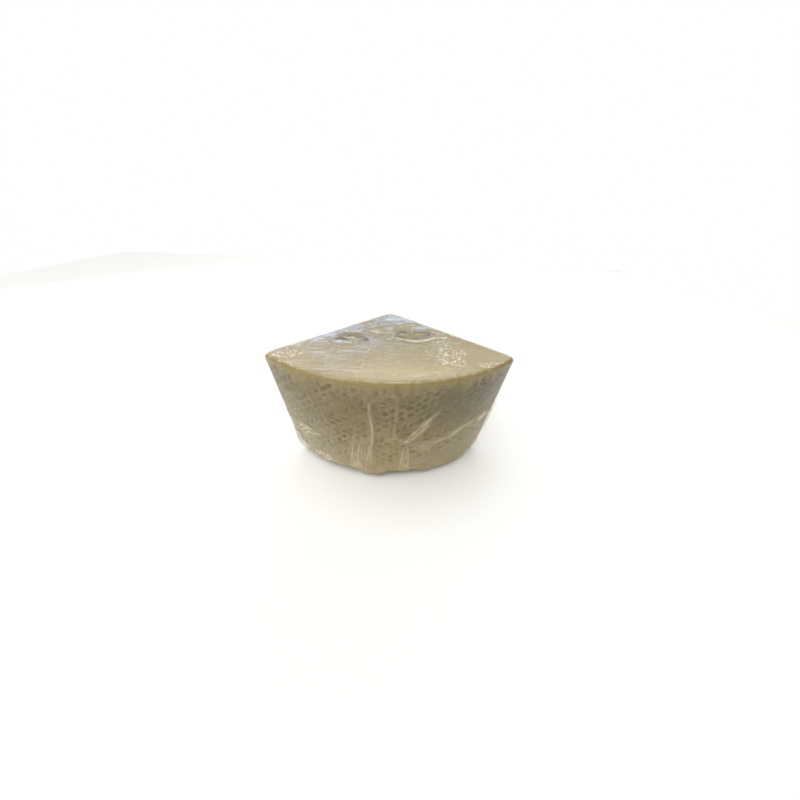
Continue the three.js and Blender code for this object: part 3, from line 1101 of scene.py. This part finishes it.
def paste_colour(nodes):
    """Ivory, clouded warmer and paler, with the cut's fine grain and tiny eyes, moist hollows, and
    painted shade in their tears, beside them and towards the point, with painted light along the front.
    """
    noise, spread, times = nodes.noise, nodes.spread, nodes.times
    hollow, tear, inner = [nodes.attribute(label) for label in ("hollow", "tear", "inner")]
    clouds = noise(34, 3)
    drawn = noise(60, 4, 0.6, (0.25, 2.4, 2.4))
    grain = noise(950, 2, 0.6)
    eyes = nodes.add("ShaderNodeTexVoronoi", {"Vector": nodes.place, "Scale": 210.0}).outputs["Distance"]
    torn = noise(120, 5, 0.7, (0.7, 1.3, 1.0))
    layers = [
        (spread(clouds, 0.36, 0.64), PASTE),
        (spread(drawn, 0.35, 0.70, 0, 0.55), PASTE_WARM),
        (spread(grain, 0.48, 0.72, 0, 0.6), PASTE_PALE),
        (times(spread(eyes, 0.10, 0.22, 0.5, 0), spread(clouds, 0.5, 0.6)), RIND_DIM),
        # painted shade towards the point, and painted light along the front
        (spread(inner, 0, 1, 0, 0.50), PASTE_BACK_SHADE),
        (spread(inner, 0, -1, 0, 0.9), PASTE_FRONT_LIGHT),
        # moist paste in the hollows, and painted shade beside them
        (times(spread(torn, 0.47, 0.56, 0.18, 1.0), spread(hollow, 0.02, 0.30), 0.72), MOIST_AND_SHADE),
        # painted shade in the torn holes
        (spread(tear, 0.10, 0.65, 0, 0.9), TEAR_SHADE),
    ]
    return nodes.layered(PASTE_WARM, layers)


def rind_colour(nodes):
    """Straw brown, with stains, painted shade towards its upper edge and right, a ragged olive band
    under its edge, paler low down as painted light, and a painted shadow where it turns under."""
    noise, spread = nodes.noise, nodes.spread
    pit, upper_right_shade = nodes.attribute("pit"), nodes.attribute("upper_right_shade")
    height = nodes.add("ShaderNodeSeparateXYZ", {"Vector": nodes.place}).outputs["Z"]
    stains = noise(55, 5, 0.6)
    mottle = noise(150, 3, 0.55)
    specks = noise(520, 2, 0.65)
    drips = noise(130, 3, 0.6, (1.0, 1.0, 0.12))
    ragged = nodes.plus(height, spread(drips, 0.34, 0.66, -0.007, 0.007))
    layers = [
        (spread(stains, 0.38, 0.66), RIND),
        (spread(mottle, 0.50, 0.68, 0, 0.6), RIND_DIM),
        (spread(mottle, 0.48, 0.32, 0, 0.4), RIND_PALE),
        # painted light: paler low down, where light bounces up from the floor
        (spread(height, 0.085, 0.015, 0, 0.7), RIND_PALE),
        # painted shade towards the rind's upper edge and right
        (nodes.times(upper_right_shade, 0.88), RIND_UPPER_RIGHT_SHADE),
        (spread(ragged, 0.117, 0.125, 0, 0.75), RIND_EDGE),
        (spread(specks, 0.56, 0.74, 0, 0.42), SPECK_AND_PIT_SHADE),
        # painted shade in the pressed pits
        (spread(pit, 0.02, 0.80), SPECK_AND_PIT_SHADE),
        # painted highlight on the pits' raised lips
        (spread(pit, -0.05, -0.7, 0, 0.25), RIND_PALE),
        # painted shadow where the rind turns under towards the floor
        (spread(height, 0.0065, 0.0025, 0, 0.9), RIND_FOOT_SHADOW),
    ]
    return nodes.layered(RIND_DIM, layers)


def cheese_material():
    nodes = Nodes("cheese_paste_and_rind")
    rind = nodes.attribute("rind")
    edge = nodes.spread(nodes.noise(240, 4, 0.6), 0.3, 0.7, -0.30, 0.30)
    rind_share = nodes.spread(nodes.plus(rind, edge), 0.15, 0.85)
    pebble = nodes.noise(420, 4, 0.6)
    fine = nodes.noise(1500, 3, 0.6)
    inputs = {
        "Base Color": nodes.mix(rind_share, paste_colour(nodes), rind_colour(nodes)),
        "Roughness": nodes.spread(rind, 0, 1, 0.55, 0.72),
        "Normal": nodes.bumped([(pebble, 0.55, 0.0009), (fine, 0.45, 0.0003)]),
        "Subsurface Weight": 0.12,
        "Subsurface Radius": (0.006, 0.004, 0.002),
        "Subsurface Scale": 0.6,
        "Specular IOR Level": 0.35,
    }
    return nodes.output(nodes.add("ShaderNodeBsdfPrincipled", inputs).outputs["BSDF"])


def crackle_cells(nodes):
    """How far the edges of a bent net of small cells are, in the net's own scale."""
    warp = nodes.add("ShaderNodeTexNoise", {"Vector": nodes.place, "Scale": 180.0}).outputs["Color"]
    bend = nodes.add("ShaderNodeVectorMath", {0: warp, "Scale": 0.0025}, operation="SCALE").outputs[0]
    bent = nodes.add("ShaderNodeVectorMath", {0: nodes.place, 1: bend}, operation="ADD").outputs[0]
    bent = nodes.add("ShaderNodeMapping", {"Vector": bent, "Scale": (1.0, 0.62, 1.0)}).outputs["Vector"]
    inputs = {"Vector": bent, "Scale": 430.0}
    cells = nodes.add("ShaderNodeTexVoronoi", inputs, feature="DISTANCE_TO_EDGE")
    return cells.outputs["Distance"]


def film_material():
    nodes = Nodes("clear_stretch_film")
    noise, spread, times = nodes.noise, nodes.spread, nodes.times
    haze_and_glint, veil_and_light, blue_reflection, strand = [nodes.attribute(label) for label in ("haze_and_glint", "veil_and_light", "blue_reflection", "strand")]
    pucker = times(nodes.attribute("pucker"), spread(noise(75, 3, 0.6), 0.36, 0.58, 0.55, 1.25))
    run = {"X": nodes.attribute("across"), "Y": nodes.attribute("along")}
    strand_place = nodes.add("ShaderNodeCombineXYZ", run).outputs["Vector"]

    # Strands of gathered film, a loose net of wrinkles, and fine crackle in puckered places
    strands = times(nodes.crest(noise(1.0, 3, 0.55, place=strand_place), 0.5, 0.07), strand)
    wrinkles = nodes.crest(noise(80, 4, 0.6), 0.5, 0.014)
    cells = crackle_cells(nodes)
    crackle_net = times(nodes.crest(cells, 0, 0.24), pucker)
    caught = spread(noise(420, 2), 0.42, 0.56)
    # painted glints: the crackle's crests laid on as diffuse white where the film is most puckered
    glints = times(nodes.crest(cells, 0, 0.27), caught, spread(pucker, 0.30, 0.75))
    drawn = noise(260, 3, 0.55, (0.28, 0.9, 0.9))
    fine = noise(900, 3, 0.6)
    crumple = times(noise(170, 3, 0.6, (0.6, 1.0, 1.0)), pucker)
    heights = [
        (drawn, 0.07, 0.0004),
        (crumple, 0.8, 0.0012),
        (fine, 0.07, 0.0001),
        (wrinkles, 0.8, 0.00012),
        (strands, 1.0, 0.0004),
        (crackle_net, 1.0, 0.0003),
    ]
    normal = nodes.bumped(heights)

    # Clear film, dimmed as painted shade in the middle of the crackle's cells, which mirrors more at its
    # edges
    gaps = times(nodes.crest(cells, 0.5, 0.28), spread(pucker, 0.45, 0.9, 0, 0.95))
    clear = nodes.add("ShaderNodeBsdfTransparent", {"Color": nodes.mix(gaps, FILM_CLEAR, FILM_DIMMED)})
    gloss = nodes.add("ShaderNodeBsdfGlossy", {"Roughness": 0.12, "Normal": normal})
    facing = nodes.add("ShaderNodeLayerWeight", {"Blend": 0.5, "Normal": normal}).outputs["Facing"]
    mirror = spread(nodes.math("POWER", facing, 5.0), 0, 1, 0.055, 0.9)
    sheet = nodes.add("ShaderNodeMixShader", {0: mirror, 1: clear.outputs[0], 2: gloss.outputs[0]})

    # Diffuse white where it is creased, with painted glints on the crackle and the hazier creases,
    # where it is veiled, partly as painted light, and a painted blue reflection of the sky over the
    # level cut
    streaks = spread(noise(190, 5, 0.7, (1.0, 1.0, 0.45)), 0.34, 0.66, 0.35, 1.15)
    dashes = spread(noise(240, 3, 0.6, (0.30, 1.0, 1.0)), 0.40, 0.62, 0.25, 1.0)
    blue_reflected = times(blue_reflection, dashes)
    # veils of slack film, partly painted light, with the painted blue reflection
    veiled_and_lit = nodes.plus(times(veil_and_light, streaks), times(blue_reflected, 0.72))
    marks = ((strands, 0.30), (strand, 0.18), (wrinkles, 0.12), (glints, 0.95))
    creased_and_glinting = nodes.plus(times(haze_and_glint, streaks), *[times(mark, weight) for mark, weight in marks])
    white_and_painted_light = spread(nodes.plus(veiled_and_lit, creased_and_glinting), 0, 1, 0.012, 0.95)
    tints = [
        (spread(nodes.math("SUBTRACT", creased_and_glinting, veiled_and_lit), -0.1, 0.1), FILM_CREASE),
        # painted glints
        (nodes.plus(spread(haze_and_glint, 0.30, 0.65), glints), FILM_GLINT),
        # painted blue reflection of the sky
        (spread(blue_reflected, 0.05, 0.4), FILM_BLUE_REFLECTION),
    ]
    tint = nodes.layered(FILM_VEIL, tints)
    white = nodes.add("ShaderNodeBsdfDiffuse", {"Color": tint, "Normal": normal})
    whole = nodes.add("ShaderNodeMixShader", {0: white_and_painted_light, 1: sheet.outputs[0], 2: white.outputs[0]})
    return nodes.output(whole.outputs[0])


def floor_material():
    nodes = Nodes("pale_floor")
    colour = nodes.mix(nodes.noise(3, 3), FLOOR, FLOOR_PALE)
    shader = nodes.add("ShaderNodeBsdfPrincipled", {"Base Color": colour, "Roughness": 0.7})
    return nodes.output(shader.outputs["BSDF"])


# Camera, floor and light


CAMERA_FROM_AXIS = Vector((17.4, -325.4, 108.9)) * MM  # from the wheel's axis, above the level cut
CAMERA_HEADING = math.radians(-4.55)
CAMERA_DIP = math.radians(36.71)
CAMERA_ROLL = math.radians(3.08)
SENSOR = 36.0
PICTURE_WIDTH = 800
FOCAL_PIXELS = 266
FLOOR_HALF = 1.2

WARM_WHITE = (1.0, 0.97, 0.90)
CEILING_WHITE = (1.0, 0.985, 0.95)
BLUE = (0.46, 0.58, 1.0)
PALE_BLUE = (0.56, 0.76, 1.0)
WARM = (1.0, 0.86, 0.62)

# Lamps that shine on the level cut: place, size, radiance, and whether they light and are mirrored
LAMPS = [
    ("front", (-1.15, -0.95, 0.80), (1.1, 0.7), 1.50, True, True),
    ("tube", (0.05, 0.65, 1.25), (0.6, 0.05), 60.0, False, True),
    ("low_lamp", (-0.35, -1.1, 0.42), (0.08, 0.05), 60.0, False, True),
    ("back_lamp", (0.95, 0.67, 0.30), (0.50, 0.36), 16.0, False, True),
    ("back_lamp", (-0.95, 0.67, 0.30), (0.50, 0.36), 16.0, False, True),
    ("behind", (0.5, 1.3, 0.5), (1.6, 0.8), 1.2, True, False),
]

# Lamps that the level cut mirrors towards the camera: the place there from the wheel's axis in
# millimetres, then size, radiance and colour
MIRRORED_LAMPS = [
    ("window", (-56, -90), (0.50, 0.18), 2.8, BLUE),
    ("window_core", (-48, -94), (0.30, 0.09), 5.0, BLUE),
    ("window_glare", (12, -26), (0.26, 0.09), 5.0, PALE_BLUE),
    ("lamp_right", (51, -100), (0.05, 0.05), 44.0, WARM),
    ("lamp_left", (-92, -112), (0.04, 0.04), 60.0, WARM),
]
MIRRORED_DISTANCE = 1.2


def make_camera():
    data = bpy.data.cameras.new("camera")
    data.sensor_width = SENSOR
    data.lens = FOCAL_PIXELS / PICTURE_WIDTH * SENSOR
    data.clip_start = 0.01
    data.clip_end = 50
    camera = add_object("camera", data)
    axis_top = Matrix.Translation(AXIS + Vector((0, 0, HEIGHT)))
    place = axis_top @ Matrix.Rotation(CAMERA_HEADING, 4, "Z") @ Matrix.Translation(CAMERA_FROM_AXIS)
    look = Matrix.Rotation(math.pi / 2 - CAMERA_DIP, 4, "X") @ Matrix.Rotation(CAMERA_ROLL, 4, "Z")
    camera.matrix_world = place @ look
    bpy.context.scene.camera = camera


def make_floor():
    corners = [(x * FLOOR_HALF, y * FLOOR_HALF, 0) for x, y in [(-1, -1), (1, -1), (1, 1), (-1, 1)]]
    mesh = bpy.data.meshes.new("floor")
    mesh.from_pydata(corners, [], [(0, 1, 2, 3)])
    floor = add_object("floor", mesh)
    floor.data.materials.append(floor_material())


def area_light(name, place, facing, size, radiance, colour):
    """A rectangle of light at a place, turned to shine on another place."""
    data = bpy.data.lights.new(name, "AREA")
    data.shape = "RECTANGLE"
    data.size, data.size_y = size
    data.energy = radiance * math.pi * size[0] * size[1]
    data.color = colour
    light = add_object(name, data)
    light.location = place
    light.rotation_mode = "QUATERNION"
    light.rotation_quaternion = (place - facing).to_track_quat("Z", "Y")
    light.visible_camera = False
    return light


def make_lights():
    sky = bpy.data.lights.new("ceiling", "SUN")
    sky.energy = 2.45
    sky.angle = math.radians(70)
    sky.color = CEILING_WHITE
    ceiling = add_object("ceiling", sky)
    ceiling.rotation_euler = (math.radians(8), math.radians(-12), 0)
    level_cut = Vector((0, 0, HEIGHT))
    for name, place, size, radiance, lights, mirrored in LAMPS:
        lamp = area_light(name, Vector(place), level_cut, size, radiance, WARM_WHITE)
        lamp.visible_diffuse = lights
        lamp.visible_glossy = mirrored
    eye = bpy.context.scene.camera.matrix_world.translation
    for name, (x, y), size, radiance, colour in MIRRORED_LAMPS:
        spot = AXIS + Vector((x * MM, y * MM, HEIGHT))
        out = ((spot - eye) * Vector((1, 1, -1))).normalized()
        lamp = area_light(name, spot + out * MIRRORED_DISTANCE, spot, size, radiance, colour)
        lamp.visible_diffuse = False


def make_world():
    """White behind the piece for the camera, and a soft grey room for every other ray."""
    world = bpy.data.worlds.new("room")
    bpy.context.scene.world = world
    world.use_nodes = True
    tree = world.node_tree
    tree.nodes.clear()
    room = tree.nodes.new("ShaderNodeBackground")
    room.inputs["Color"].default_value = ROOM
    white = tree.nodes.new("ShaderNodeBackground")
    white.inputs["Color"].default_value = WHITE
    path = tree.nodes.new("ShaderNodeLightPath")
    choose = tree.nodes.new("ShaderNodeMixShader")
    out = tree.nodes.new("ShaderNodeOutputWorld")
    tree.links.new(path.outputs["Is Camera Ray"], choose.inputs[0])
    tree.links.new(room.outputs[0], choose.inputs[1])
    tree.links.new(white.outputs[0], choose.inputs[2])
    tree.links.new(choose.outputs[0], out.inputs["Surface"])
    bpy.context.scene.view_settings.view_transform = "Standard"


def dress(piece, material):
    piece.data.materials.append(material)
    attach(piece, "root")
    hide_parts("wrapped_cheese")


make_camera()
make_floor()
make_lights()
make_world()
dress(make_cheese(), cheese_material())
dress(make_film(), film_material())
